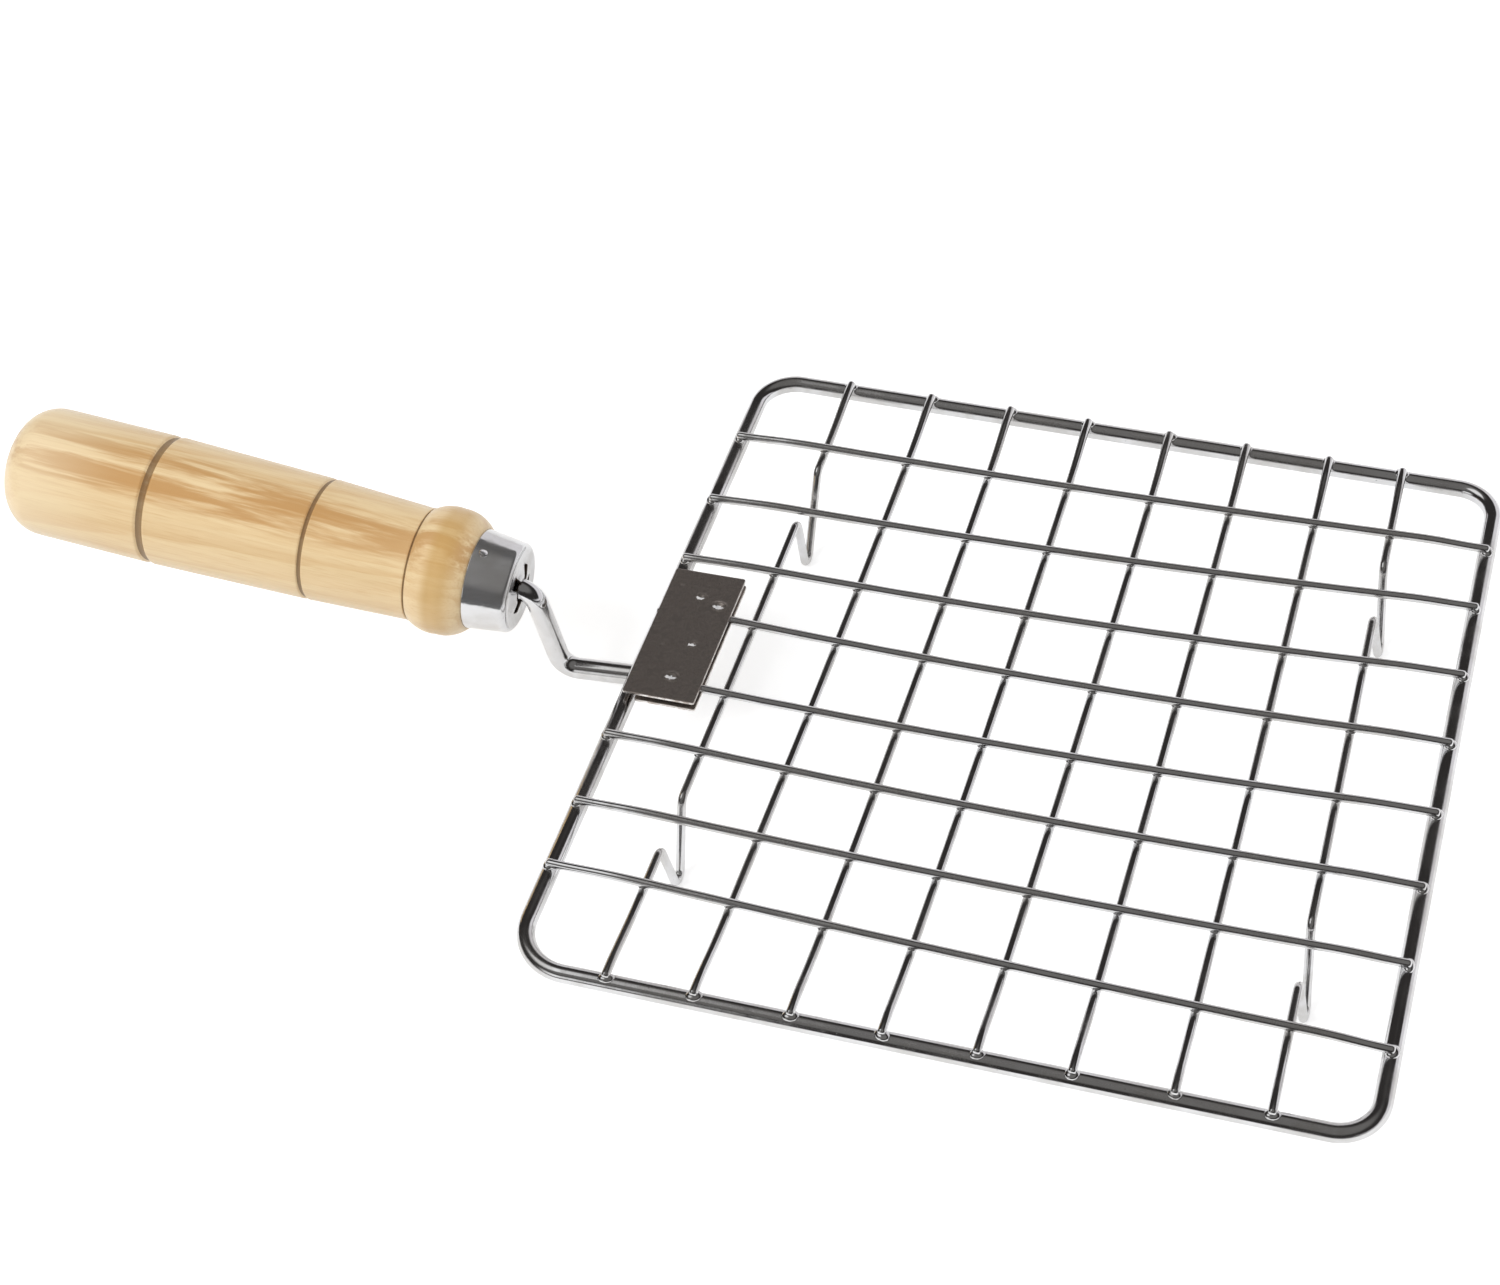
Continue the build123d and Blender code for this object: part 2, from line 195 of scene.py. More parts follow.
def rim_run(place, side, across, is_cross):
    """End, seat and field edge of a wire at one side of the ring, the end first."""
    edge = side * FIELD_EDGE
    return [(place + side * END_PAST, SEAT_Z), (place - side * SEAT_LEAD, SEAT_Z),
            (edge, field_z(edge, across, is_cross))]


def field_run(across, is_cross, low=-math.inf, high=math.inf):
    """The sagging run of a wire, one point in the middle of each cell."""
    places = [(number + 1 - WIRES / 2) * PITCH for number in range(WIRES - 1)]
    return [(along, field_z(along, across, is_cross)) for along in places if low < along < high]


def wire_place(x, y, lean, half):
    """Where a wire stands that was made along an axis. It leans by lean over half its length."""
    return Matrix.Translation((x, y, 0)) @ Matrix.Rotation(math.atan2(lean, half), 4, "Z")


def cross_path(number):
    """Corners of an upper wire, from the handle side."""
    across = cross_across(number)
    y = MESH_MIDDLE[1] + across
    right_x = RING_HALF[0] - RIGHT_SKEW * y / RING_HALF[1]
    left = rim_run(-RING_HALF[0] - MESH_MIDDLE[0], -1, across, True)
    right = rim_run(right_x - MESH_MIDDLE[0], 1, across, True)
    place = wire_place(MESH_MIDDLE[0], y, CROSS_LEAN[number], RING_HALF[0])
    route = left + field_run(across, True) + right[::-1]
    return [place @ Vector((along, 0, z)) for along, z in route]


def along_y(run):
    """Points of a run that lies along Y."""
    return [(0, along, z) for along, z in run]


def leg_route(number, far, near):
    """Corners of a lower wire with two feet, and the radius of each sharp bend."""
    across = down_across(number)
    feet = []
    for place, shape in zip((FOOT_PLACE, -FOOT_PLACE), FEET[number]):
        leaves, stands, returns = (place + step for step in shape[:3])
        feet.append([
            (0, leaves, field_z(leaves, across, False)),
            (shape[3], stands + FOOT_FLAT / 2, FOOT_Z),
            (shape[3], stands - FOOT_FLAT / 2, FOOT_Z),
            (0, returns, field_z(returns, across, False)),
        ])
    between = field_run(across, False, feet[1][0][1] + PITCH / 2, feet[0][-1][1] - PITCH / 2)
    route = along_y(far) + feet[0] + along_y(between[::-1])
    bends = {}
    for first in (len(far), len(route)):
        bends.update({first + step: radius for step, radius in enumerate(FOOT_BENDS)})
    return route + feet[1] + along_y(near[::-1]), bends


def down_path(number):
    """Corners of a lower wire, from the far side, and the radius of each sharp bend."""
    across, lean = down_across(number), DOWN_LEAN[number]
    x = MESH_MIDDLE[0] + across
    far_y = RING_HALF[1] - FAR_SKEW * (x + lean) / RING_HALF[0]
    near_y = -RING_HALF[1] + NEAR_SKEW * (x - lean) / RING_HALF[0]
    far = rim_run(far_y - MESH_MIDDLE[1], 1, across, False)
    near = rim_run(near_y - MESH_MIDDLE[1], -1, across, False)
    if number in FEET:
        route, bends = leg_route(number, far, near)
    else:
        route, bends = along_y(far + field_run(across, False)[::-1] + near[::-1]), {}
    place = wire_place(x, MESH_MIDDLE[1], -lean, RING_HALF[1])
    return [place @ Vector(corner) for corner in route], bends


def bent_points(corners, bends, steps=7):
    """Points along straight runs and tangent arcs. A corner without a bend is a slight one."""
    points = [corners[0]]
    for number in range(1, len(corners) - 1):
        before, corner, after = corners[number - 1:number + 2]
        back, onward = before - corner, after - corner
        half_open = back.angle(onward) / 2
        if math.pi / 2 - half_open < STRAIGHT:
            points.append(corner)
            continue
        room = BEND_SHARE * min(back.length, onward.length) * math.tan(half_open)
        radius = bends.get(number, min(GENTLE_BEND, room))
        back.normalize()
        onward.normalize()
        middle = corner + (back + onward).normalized() * radius / math.sin(half_open)
        start = corner + back * radius / math.tan(half_open) - middle
        end = corner + onward * radius / math.tan(half_open) - middle
        axis, turn = start.cross(end), start.angle(end)
        for step in range(steps + 1):
            points.append(middle + Quaternion(axis, turn * step / steps) @ start)
    points.append(corners[-1])
    return points


def cut_end(tip, inner, radius):
    """The rounded end of a cut wire, from its tip, with the share of the full thickness."""
    length = END_LENGTH * radius
    run = (inner - tip).length
    points = []
    for turn in map(math.radians, END_TURNS):
        place = tip.lerp(inner, length * (1 - math.sin(turn)) / run)
        points.append((place, math.cos(turn) ** END_FULLNESS))
    return points + [(tip.lerp(inner, length / run), 1.0)]


def blunt_ends(points, radius):
    """Gives each point of a cut wire the share of its full thickness, and rounds its ends."""
    start = cut_end(points[0], points[1], radius)
    end = cut_end(points[-1], points[-2], radius)
    return start + [(point, 1.0) for point in points[1:-1]] + end[::-1]


def wire_tube(points, diameter, sides, closed=False):
    """Round wire along points, as a bmesh."""
    curve = bpy.data.curves.new("wire_path", "CURVE")
    curve.dimensions = "3D"
    curve.twist_mode = "Z_UP" if closed else "MINIMUM"
    curve.bevel_depth = diameter / 2
    curve.bevel_resolution = (sides - 4) // 2
    curve.use_fill_caps = not closed
    route = [(point, 1.0) for point in points] if closed else blunt_ends(points, diameter / 2)
    spline = curve.splines.new("POLY")
    spline.points.add(len(route) - 1)
    for place, (point, share) in zip(spline.points, route):
        place.co = (*point, 1)
        place.radius = share
    spline.use_cyclic_u = closed
    holder = bpy.data.objects.new("wire_path", curve)
    mesh = bpy.data.meshes.new_from_object(holder)
    shape = bmesh.new()
    shape.from_mesh(mesh)
    bpy.data.objects.remove(holder)
    bpy.data.curves.remove(curve)
    bpy.data.meshes.remove(mesh)
    bmesh.ops.remove_doubles(shape, verts=shape.verts, dist=MERGE)
    bmesh.ops.recalc_face_normals(shape, faces=shape.faces)
    return shape


def new_object(name, data):
    """Puts an object into the scene."""
    thing = bpy.data.objects.new(name, data)
    bpy.context.scene.collection.objects.link(thing)
    return thing


def aim(thing, place, target, roll=0.0):
    """Stands a camera or a lamp at a place and turns it towards another."""
    turn = (Vector(target) - Vector(place)).to_track_quat("-Z", "Y")
    thing.location = place
    thing.rotation_mode = "QUATERNION"
    thing.rotation_quaternion = turn @ Quaternion((0, 0, 1), roll)


def finish_piece(name, shape, materials, replaced=(), sharp=None):
    """Makes a piece of a bmesh in millimetres and enters it with the frame.

    sharp is the angle above which an edge isn't shaded smooth.
    """
    shape.transform(Matrix.Scale(MM, 4))
    mesh = bpy.data.meshes.new(name)
    shape.to_mesh(mesh)
    shape.free()
    if not mesh.polygons:
        raise RuntimeError(name + " has no faces")
    mesh.shade_smooth()
    if sharp is not None:
        mesh.set_sharp_from_angle(angle=sharp)
    for material in materials:
        mesh.materials.append(material)
    piece = new_object(name, mesh)
    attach(piece, "root")
    for node in replaced:
        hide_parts(node)
    return piece


class ShaderTree:
    """A node tree with short calls for adding and linking nodes."""

    def __init__(self, tree):
        self.tree = tree

    def add(self, kind, **values):
        node = self.tree.nodes.new(kind)
        for name, value in values.items():
            setattr(node, name, value)
        return node

    def feed(self, socket, value):
        if isinstance(value, bpy.types.NodeSocket):
            self.tree.links.new(value, socket)
        elif value is not None:
            socket.default_value = value

    def math(self, operation, *values):
        node = self.add("ShaderNodeMath", operation=operation)
        for socket, value in zip(node.inputs, values):
            self.feed(socket, value)
        return node.outputs[0]

    def plus(self, first, second):
        return self.math("ADD", first, second)

    def times(self, first, second):
        return self.math("MULTIPLY", first, second)

    def vector(self, operation, *values):
        node = self.add("ShaderNodeVectorMath", operation=operation)
        for socket, value in zip(node.inputs, values):
            self.feed(socket, value)
        return node.outputs["Value" if operation in ("DOT_PRODUCT", "LENGTH") else "Vector"]

    def spread(self, value, low, high, to_low=0.0, to_high=1.0):
        """Maps a value from one range to another, softly at both ends."""
        node = self.add("ShaderNodeMapRange", interpolation_type="SMOOTHSTEP")
        for name, entry in (("Value", value), ("From Min", low), ("From Max", high),
                            ("To Min", to_low), ("To Max", to_high)):
            self.feed(node.inputs[name], entry)
        return node.outputs["Result"]

    def parts(self, vector):
        """The x, y and z of a vector."""
        node = self.add("ShaderNodeSeparateXYZ")
        self.feed(node.inputs[0], vector)
        return node.outputs

    def bump(self, shader, height, distance):
        """Bumps a shader's surface, by a distance in metres."""
        node = self.add("ShaderNodeBump")
        node.inputs["Distance"].default_value = distance
        self.feed(node.inputs["Height"], height)
        self.feed(shader["Normal"], node.outputs["Normal"])

    def mix(self, share, first, second):
        """Mixes two colours, which are sockets or three numbers."""
        node = self.add("ShaderNodeMix", data_type="RGBA")
        sockets = {(socket.name, socket.type): socket for socket in node.inputs}
        self.feed(sockets["Factor", "VALUE"], share)
        for name, tone in (("A", first), ("B", second)):
            is_socket = isinstance(tone, bpy.types.NodeSocket)
            self.feed(sockets[name, "RGBA"], tone if is_socket else (*tone, 1))
        return next(socket for socket in node.outputs if socket.type == "RGBA")

    def noise(self, place, scale, detail=2.0, roughness=0.5, distortion=0.0):
        node = self.add("ShaderNodeTexNoise")
        self.feed(node.inputs["Vector"], place)
        for name, value in (("Scale", scale), ("Detail", detail), ("Roughness", roughness),
                            ("Distortion", distortion)):
            self.feed(node.inputs[name], value)
        return node.outputs["Fac"]


def new_material(name):
    """A material, its node tree and the inputs of its shader."""
    material = bpy.data.materials.new(name)
    material.use_nodes = True
    tree = material.node_tree
    return material, ShaderTree(tree), tree.nodes["Principled BSDF"].inputs


def metal_marks():
    """Node group: clouding, small specks and an uneven height for metal surfaces."""
    name = "metal_marks"
    if name in bpy.data.node_groups:
        return bpy.data.node_groups[name]
    group = bpy.data.node_groups.new(name, "ShaderNodeTree")
    group.interface.new_socket("Vector", in_out="INPUT", socket_type="NodeSocketVector")
    for label in ("Cloud Scale", "Speck Scale", "Speck Amount"):
        group.interface.new_socket(label, in_out="INPUT", socket_type="NodeSocketFloat")
    for label in ("Cloud", "Specks", "Height"):
        group.interface.new_socket(label, in_out="OUTPUT", socket_type="NodeSocketFloat")
    tree = ShaderTree(group)
    entry = tree.add("NodeGroupInput").outputs
    place, cloud_scale = entry["Vector"], entry["Cloud Scale"]
    cloud = tree.noise(place, cloud_scale, detail=4, roughness=0.6, distortion=0.4)
    cloud = tree.spread(cloud, 0.35, 0.65)
    fine = tree.noise(place, entry["Speck Scale"], detail=2, roughness=0.6)
    speck_edge = tree.math("SUBTRACT", 0.80, tree.times(entry["Speck Amount"], 0.35))
    specks = tree.spread(fine, speck_edge, tree.plus(speck_edge, 0.08))
    uneven = tree.noise(place, tree.times(cloud_scale, 4), detail=3, roughness=0.5)
    uneven = tree.plus(uneven, tree.times(specks, -0.5))
    leave = tree.add("NodeGroupOutput").inputs
    for label, value in (("Cloud", cloud), ("Specks", specks), ("Height", uneven)):
        tree.feed(leave[label], value)
    return group


def metal(name, bright, dull, *, roughness, clouds, fine, specks, bump, speck_tone=0.5, satin=0.0):
    """Metal with clouding, specks and a slightly uneven face.

    roughness is that of the bright and the dull places, clouds and fine are noise scales, specks
    is their amount, bump is in metres and satin is the share that isn't metallic.
    """
    material, tree, shader = new_material(name)
    marks = tree.add("ShaderNodeGroup")
    marks.node_tree = metal_marks()
    place = tree.add("ShaderNodeTexCoord").outputs["Object"]
    for label, value in (("Vector", place), ("Cloud Scale", clouds), ("Speck Scale", fine),
                         ("Speck Amount", specks)):
        tree.feed(marks.inputs[label], value)
    cloud = marks.outputs["Cloud"]
    tone = tree.mix(cloud, bright, dull)
    tone = tree.mix(marks.outputs["Specks"], tone, [value * speck_tone for value in dull])
    tree.feed(shader["Base Color"], tone)
    shader["Metallic"].default_value = 1.0 - satin
    tree.feed(shader["Roughness"], tree.spread(cloud, 0, 1, *roughness))
    tree.bump(shader, marks.outputs["Height"], bump)
    return material


# Wood, in metres in the handle's own frame
GRAIN = (0.07, 1, 1)  # marks are drawn out along the handle
FIBRE_GRAIN = (0.03, 1, 1)
GRAIN_WANDER = 0.012
PITH_SIDE, PITH_UP = 0.021, -0.034  # from the middle of the growth rings to the axis
PITH_CLIMB = 0.10
RINGS_PER_METRE = 330
STREAK_WAY = (0.0, 0.31, 0.95)  # from the axis to the middle of the brown streaks
BEAD_OCHRE = (0.60, 0.36, 0.11)
BUTT_PALE = (0.96, 0.82, 0.58)


def growth_rings(tree, parts, long_grain, wander):
    """Share of the tan late wood, in rings round a pith outside the handle."""
    along, side, up = parts
    side_off = tree.plus(side, tree.plus(wander, PITH_SIDE))
    up_off = tree.plus(up, tree.plus(tree.times(along, PITH_CLIMB), PITH_UP))
    reach = tree.plus(tree.times(side_off, side_off), tree.times(up_off, up_off))
    rings = tree.math("FRACT", tree.times(tree.math("SQRT", reach), RINGS_PER_METRE))
    rings = tree.times(tree.spread(rings, 0.25, 0.85), tree.spread(rings, 1.0, 0.92))
    patch = tree.spread(tree.noise(long_grain, 150, detail=3, roughness=0.6), 0.38, 0.66)
    return tree.times(rings, tree.plus(tree.times(patch, 0.45), 0.15))


def brown_streaks(tree, local, long_grain, wander):
    """Share of the brown streaks, most of them in a band along the handle."""
    around = tree.vector("NORMALIZE", tree.vector("MULTIPLY", local, (0, 1, 1)))
    band = tree.plus(tree.vector("DOT_PRODUCT", around, STREAK_WAY), tree.times(wander, 18))
    band = tree.spread(band, 0.86, 0.99)
    streaks = tree.noise(long_grain, 330, detail=4, roughness=0.65, distortion=0.3)
    return tree.times(tree.spread(streaks, 0.34, 0.58), tree.plus(tree.times(band, 0.78), 0.14))


def turned_wood(name, colours, groove=False):
    """Pale varnished wood with growth rings, fibres and brown streaks along the handle."""
    material, tree, shader = new_material(name)
    place = tree.add("ShaderNodeMapping", vector_type="TEXTURE")
    tree.feed(place.inputs["Vector"], tree.add("ShaderNodeTexCoord").outputs["Object"])
    place.inputs["Location"].default_value = Vector(HANDLE_FACE) * MM
    place.inputs["Rotation"].default_value = HANDLE_TURN.to_euler()
    local = place.outputs["Vector"]
    parts = tree.parts(local)
    along = parts["X"]
    long_grain = tree.vector("MULTIPLY", local, GRAIN)
    wander = tree.math("SUBTRACT", tree.noise(long_grain, 120, detail=2, roughness=0.5), 0.5)
    wander = tree.times(wander, GRAIN_WANDER)
    tan = growth_rings(tree, parts, long_grain, wander)
    tone = tree.mix(tan, colours.wood_pale, colours.wood_tan)
    tone = tree.mix(brown_streaks(tree, local, long_grain, wander), tone, colours.wood_streak)
    fibres = tree.vector("MULTIPLY", local, FIBRE_GRAIN)
    fibres = tree.noise(fibres, 2600, detail=3, roughness=0.6)
    tone = tree.mix(tree.spread(fibres, 0.45, 0.75, 0.0, 0.22), tone, colours.wood_streak)
    bead = tree.times(tree.spread(along, 0.0112, 0.0145), tree.spread(along, 0.0198, 0.0168))
    tone = tree.mix(tree.times(bead, 0.62), tone, BEAD_OCHRE)
    tone = tree.mix(tree.spread(along, 0.090, 0.118, 0.0, 0.35), tone, BUTT_PALE)
    # burnt grooves, and painted shade on the tenon's face seen through the ferrule's slits
    if groove:
        tone = tree.mix(0.80, tone, colours.burnt_and_shaded_wood)
    tree.feed(shader["Base Color"], tone)
    tree.feed(shader["Roughness"], tree.spread(fibres, 0.3, 0.7, 0.34, 0.46))
    shader["Coat Weight"].default_value = 0.0 if groove else 0.35
    shader["Coat Roughness"].default_value = 0.22
    tree.bump(shader, fibres, 0.00006)
    return material


def plated_wire():
    """The one finish of the mesh, the ring and their welds."""
    name = "bright_plated_wire"
    if name in bpy.data.materials:
        return bpy.data.materials[name]
    colours = bpy.context.scene.grill_colours
    return metal(name, colours.plating, colours.dull_plating, roughness=(0.10, 0.22),
                 clouds=70, fine=1100, specks=0.25, bump=0.00002)


# What bright metal mirrors, beside the table
DARK_ROOM = (0.032, 0.029, 0.028)
GREY_CEILING = (0.17, 0.165, 0.16)
CEILING_WAY = (0, -0.28, 0.96)
PALE_HORIZON = (0.82, 0.80, 0.82)
WHITE = (1.0, 1.0, 1.0)


class PAPAD_OT_stage(bpy.types.Operator):
    """Make the floor, the light and the camera."""

    bl_idname = "papad.stage"
    bl_label = "Stage"

    def execute(self, context):
        scene = context.scene
        stage = scene.grill_stage
        scene.view_settings.view_transform = "Standard"
        self.make_camera(scene, stage)
        self.make_world(scene, stage)
        self.make_table(stage)
        self.make_lamps()
        return {"FINISHED"}

    def make_camera(self, scene, stage):
        data = bpy.data.cameras.new("camera")
        data.lens = stage.lens
        data.sensor_width = 36
        data.sensor_fit = "HORIZONTAL"
        data.clip_start = 0.01
        scene.camera = new_object("camera", data)
        aim(scene.camera, stage.camera_place, stage.camera_aim, stage.camera_roll)

    def make_world(self, scene, stage):
        """White to the camera, plain light to matt surfaces, and a room to bright metal."""
        world = bpy.data.worlds.new("studio")
        world.use_nodes = True
        scene.world = world
        world.node_tree.nodes.clear()
        tree = ShaderTree(world.node_tree)
        path = tree.add("ShaderNodeLightPath")
        light = stage.room_light
        seen = tree.mix(self.shiny_ray(tree, path), (light, light, light), self.room(tree))
        seen = tree.mix(path.outputs["Is Camera Ray"], seen, WHITE)
        background = tree.add("ShaderNodeBackground")
        tree.feed(background.inputs["Color"], seen)
        output = tree.add("ShaderNodeOutputWorld")
        tree.feed(output.inputs["Surface"], background.outputs[0])

    def shiny_ray(self, tree, path):
        """1 for a ray that bright metal mirrors, or that passes through something clear."""
        kinds = path.outputs["Is Glossy Ray"], path.outputs["Is Transmission Ray"]
        return tree.math("MAXIMUM", *kinds)

    def room(self, tree):
        """A dark room with a grey ceiling, a pale horizon and a soft box at the handle's side."""
        way = tree.add("ShaderNodeTexCoord").outputs["Generated"]
        x, y, z = tree.parts(way)
        overhead = tree.vector("DOT_PRODUCT", way, Vector(CEILING_WAY).normalized())
        room = tree.mix(tree.spread(overhead, 0.60, 0.85), DARK_ROOM, GREY_CEILING)
        room = tree.mix(self.above_horizon(tree, x, y, z), PALE_HORIZON, room)
        return tree.mix(self.soft_box(tree, x, y, z), room, WHITE)

    def above_horizon(self, tree, x, y, z):
        """1 above the edge of the dark room, which is higher behind and on the right."""
        behind = tree.math("MAXIMUM", y, 0)
        edge = tree.times(tree.times(behind, behind), 0.68)
        slope = tree.plus(tree.times(x, 0.30), tree.spread(y, -0.25, 0.25, -0.16, 0.06))
        edge = tree.plus(edge, slope)
        return tree.spread(z, tree.math("SUBTRACT", edge, 0.05), tree.plus(edge, 0.05))

    def soft_box(self, tree, x, y, z):
        """1 in a strip over the handle and in a low card in front of it."""
        handle_side = tree.times(tree.spread(tree.times(x, -1), 0.27, 0.34),
                                 tree.spread(x, -0.80, -0.60))
        lean = tree.math("DIVIDE", y, tree.math("MAXIMUM", z, 0.05))
        strip = tree.times(tree.spread(lean, -0.50, -0.38), tree.spread(lean, 0.30, 0.18))
        card = tree.times(tree.spread(y, -0.05, -0.15), tree.spread(z, 0.42, 0.34))
        return tree.times(handle_side, tree.math("MAXIMUM", strip, card))

    def make_table(self, stage):
        """A white floor. Bright metal mirrors its near part dark."""
        shape = bmesh.new()
        bmesh.ops.create_grid(shape, x_segments=1, y_segments=1, size=stage.floor_size / 2)
        mesh = bpy.data.meshes.new("table")
        shape.to_mesh(mesh)
        shape.free()
        table = new_object("table", mesh)
        material, tree, shader = new_material("white_table")
        shader["Roughness"].default_value = 1.0
        shader["Specular IOR Level"].default_value = 0.0
        shader["Emission Color"].default_value = (*WHITE, 1)
        path = tree.add("ShaderNodeLightPath")
        shiny = self.shiny_ray(tree, path)
        y = tree.parts(tree.add("ShaderNodeTexCoord").outputs["Object"])["Y"]
        near = tree.times(shiny, tree.spread(y, -0.15, -0.20))
        tree.feed(shader["Base Color"], tree.mix(near, (0.80, 0.80, 0.80), (0.04, 0.04, 0.04)))
        glow = tree.math("MAXIMUM", path.outputs["Is Camera Ray"], shiny)
        glow = tree.times(glow, tree.math("SUBTRACT", 1.0, near))
        glow = tree.times(glow, tree.spread(shiny, 0, 1, 1.0, 0.7))
        tree.feed(shader["Emission Strength"], tree.times(glow, stage.table_glow))
        mesh.materials.append(material)

    def make_lamps(self):
        """Two soft lamps: name, place, width in metres and power in watts."""
        for name, place, size, power in (
            ("key", (-0.7, -0.8, 1.1), 0.8, 10),
            ("fill", (0.9, 0.4, 0.9), 0.9, 3),
        ):
            data = bpy.data.lights.new(name, "AREA")
            data.shape = "DISK"
            data.size = size
            data.energy = power
            lamp = new_object(name, data)
            aim(lamp, place, (0, 0, 0))
            lamp.visible_glossy = False


class PAPAD_OT_ring(bpy.types.Operator):
    """Make the ring of thick wire."""

    bl_idname = "papad.ring"
    bl_label = "Ring"

    def execute(self, context):
        sizes = context.scene.grill_sizes
        corners = [Vector((x, y, RING_Z)) for x, y in RING_CORNERS]
        start = corners[-1].lerp(corners[0], 0.5)
        bends = {number + 1: radius for number, radius in enumerate(RING_RADII)}
        points = bent_points([start, *corners, start], bends, steps=16)[:-1]
        shape = wire_tube(points, sizes.ring_diameter / MM, 28, closed=True)
        finish_piece("ring_wire", shape, [plated_wire()], ["frame_ring"])
        return {"FINISHED"}


class PAPAD_OT_mesh(bpy.types.Operator):
    """Make the welded mesh wires and their four feet."""

    bl_idname = "papad.mesh"
    bl_label = "Mesh"

    def execute(self, context):
        diameter = context.scene.grill_sizes.wire_diameter / MM
        wires = [(node, cross_path(number), {}) for number, node in enumerate(CROSS_WIRES)]
        wires += [(node, *down_path(number)) for number, node in enumerate(DOWN_WIRES)]
        for node, corners, bends in wires:
            points = bent_points(corners, bends, steps=9 if bends else 4)
            shape = wire_tube(points, diameter, 16)
            finish_piece("plated_" + node, shape, [plated_wire()], [node])
        return {"FINISHED"}


class PAPAD_OT_welds(bpy.types.Operator):
    """Make the small weld beads between the wires and on the ring."""

    bl_idname = "papad.welds"
    bl_label = "Welds"

    seed = 4
    feet_across = (1, WIRES - 2)  # the upper wires over the feet, where the leg wires bend away
    mesh_bead = (1.25, 1.25, 0.55)
    cross_seat_bead = (1.35, 1.75, 0.7)
    down_seat_bead = (1.75, 1.35, 0.7)
    seat_bead_z = 18.6

    def execute(self, context):
        rng = random.Random(self.seed)
        beads = bmesh.new()
        for across in range(WIRES):
            for down in range(WIRES):
                if down in FEET and across in self.feet_across:
                    continue
                x, y = self.crossing(across, down)
                z = SEAT_Z - mesh_drop(x - MESH_MIDDLE[0], y - MESH_MIDDLE[1])
                self.bead(beads, rng, (x, y, z), self.mesh_bead)
        finish_piece("mesh_welds", beads, [plated_wire()])
        beads = bmesh.new()
        for number in range(WIRES):
            for points, size in ((cross_path(number), self.cross_seat_bead),
                                 (down_path(number)[0], self.down_seat_bead)):
                for end, inner in ((points[0], points[1]), (points[-1], points[-2])):
                    place = end.lerp(inner, END_PAST / (inner - end).length)
                    self.bead(beads, rng, (place.x, place.y, self.seat_bead_z), size)
        finish_piece("ring_welds", beads, [plated_wire()])
        return {"FINISHED"}

    def crossing(self, across, down):
        """Where an upper and a lower wire cross, found in a few rounds."""
        x = MESH_MIDDLE[0] + down_across(down)
        for _ in range(3):
            y = (MESH_MIDDLE[1] + cross_across(across)
                 + (x - MESH_MIDDLE[0]) * CROSS_LEAN[across] / RING_HALF[0])
            x = (MESH_MIDDLE[0] + down_across(down)
                 + (y - MESH_MIDDLE[1]) * DOWN_LEAN[down] / RING_HALF[1])
        return x, y

    def bead(self, beads, rng, place, size):
        """A weld bead, with a size, turn and place of its own."""
        scale = Matrix.Diagonal([half * rng.uniform(0.88, 1.12) for half in size]).to_4x4()
        turn = Matrix.Rotation(rng.uniform(-0.4, 0.4), 4, "Z")
        drift = Vector((rng.uniform(-0.12, 0.12), rng.uniform(-0.12, 0.12), 0))
        bmesh.ops.create_icosphere(
            beads, subdivisions=2, radius=1.0,
            matrix=Matrix.Translation(Vector(place) + drift) @ turn @ scale)


class PAPAD_OT_rod(bpy.types.Operator):
    """Make the bent rod between the handle and the mesh."""

    bl_idname = "papad.rod"
    bl_label = "Rod"

    tang = 20  # the modelled part inside the handle
    stub = 3.1  # straight out of the ferrule, to the corner of the first bend
    low_run = ((-109.55, 10.7), (-87.65, 12.5), (-82.05, 15.7), (-73.55, 15.7))  # x and z
    bends = {1: 4.7, 2: 4.4, 3: 6.0, 4: 6.0}

    def execute(self, context):
        sizes = context.scene.grill_sizes
        colours = context.scene.grill_colours
        face = Vector(HANDLE_FACE)
        corners = [face + HANDLE_WAY * self.tang, face - HANDLE_WAY * self.stub]
        corners += [Vector((x, face.y, z)) for x, z in self.low_run]
        points = bent_points(corners, self.bends, steps=14)
        shape = wire_tube(points, sizes.rod_diameter / MM, 32)
        finish = metal("bright_rod", colours.plating, colours.dull_plating, roughness=(0.09, 0.20),
                       clouds=60, fine=900, specks=0.25, bump=0.00002)
        finish_piece("rod_wire", shape, [finish], ["handle_rod"])
        return {"FINISHED"}


